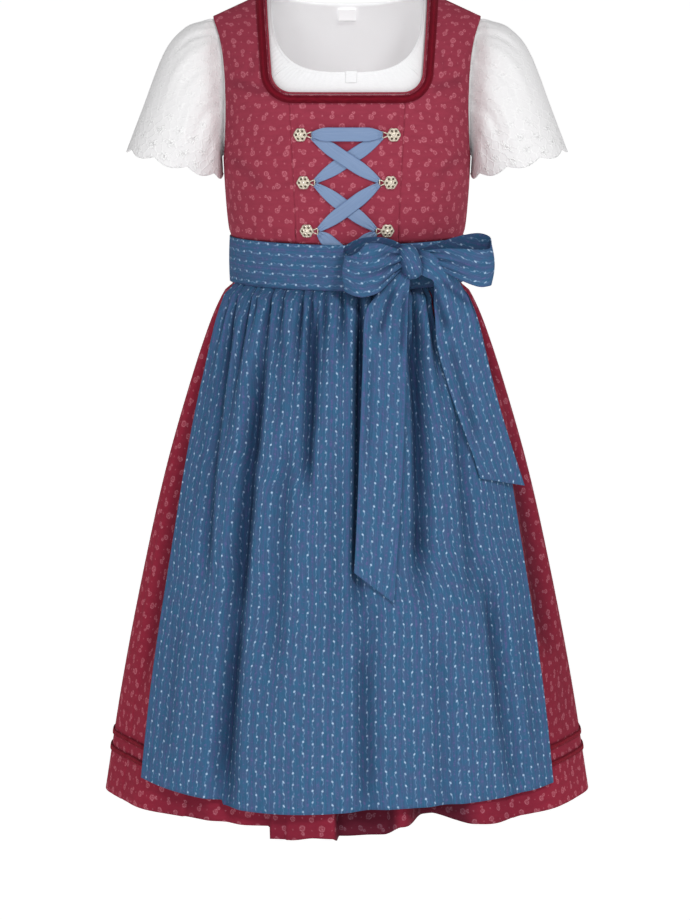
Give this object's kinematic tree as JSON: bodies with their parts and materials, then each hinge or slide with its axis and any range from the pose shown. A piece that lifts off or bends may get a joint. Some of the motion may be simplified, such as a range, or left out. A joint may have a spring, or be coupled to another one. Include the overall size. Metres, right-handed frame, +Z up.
{
  "type": "dirndl",
  "caption": "Girl's dirndl as worn: sleeveless laced bodice and gathered skirt, short-sleeved blouse under it, and an apron tied with a bow.",
  "frame": {"origin": "middle of the shoulder line, level with the shoulder seams at the neck, where the wearer's shoulders hold the garment up", "axes": "+Z up, towards the wearer's head; -Y is the garment's front; +X is the viewer's right, and left and right in names are as seen from the front"},
  "size_m": [0.4916, 0.4006, 0.8105],
  "materials": {
    "dress_cotton": "printed cotton, matt",
    "velvet": "velvet ribbon",
    "hook_metal": "antique, pierced",
    "ribbon_satin": "satin",
    "blouse_cotton": "cotton batiste, matt",
    "apron_cotton": "printed cotton, matt"
  },
  "bodies": {
    "root": {"bodice_front_centre": "dress_cotton", "bodice_side_front_left": "dress_cotton", "bodice_side_front_right": "dress_cotton", "bodice_back_left": "dress_cotton", "bodice_back_right": "dress_cotton", "neck_piping_front": "dress_cotton", "neck_piping_back": "dress_cotton", "skirt_front": "dress_cotton", "skirt_back": "dress_cotton", "neck_velvet_front": "velvet", "neck_velvet_back": "velvet", "hem_velvet_lower_front": "velvet", "hem_velvet_lower_back": "velvet", "hem_velvet_upper_front": "velvet", "hem_velvet_upper_back": "velvet", "lacing_hook_left_1": "hook_metal", "lacing_hook_left_2": "hook_metal", "lacing_hook_left_3": "hook_metal", "lacing_hook_right_1": "hook_metal", "lacing_hook_right_2": "hook_metal", "lacing_hook_right_3": "hook_metal", "lacing_strand_top": "ribbon_satin", "lacing_strand_upper_over": "ribbon_satin", "lacing_strand_upper_under": "ribbon_satin", "lacing_strand_lower_over": "ribbon_satin", "lacing_strand_lower_under": "ribbon_satin", "lacing_end_left": "ribbon_satin", "lacing_end_right": "ribbon_satin", "blouse_front": "blouse_cotton", "blouse_back": "blouse_cotton", "blouse_sleeve_left": "blouse_cotton", "blouse_sleeve_right": "blouse_cotton", "blouse_tab": "blouse_cotton", "blouse_label": "blouse_cotton", "apron_panel": "apron_cotton", "apron_waistband": "apron_cotton", "apron_tie_back": "apron_cotton", "bow_loop_left": "apron_cotton", "bow_loop_right": "apron_cotton", "bow_knot": "apron_cotton", "bow_tail_long": "apron_cotton", "bow_tail_short": "apron_cotton"}
  },
  "joints": []
}
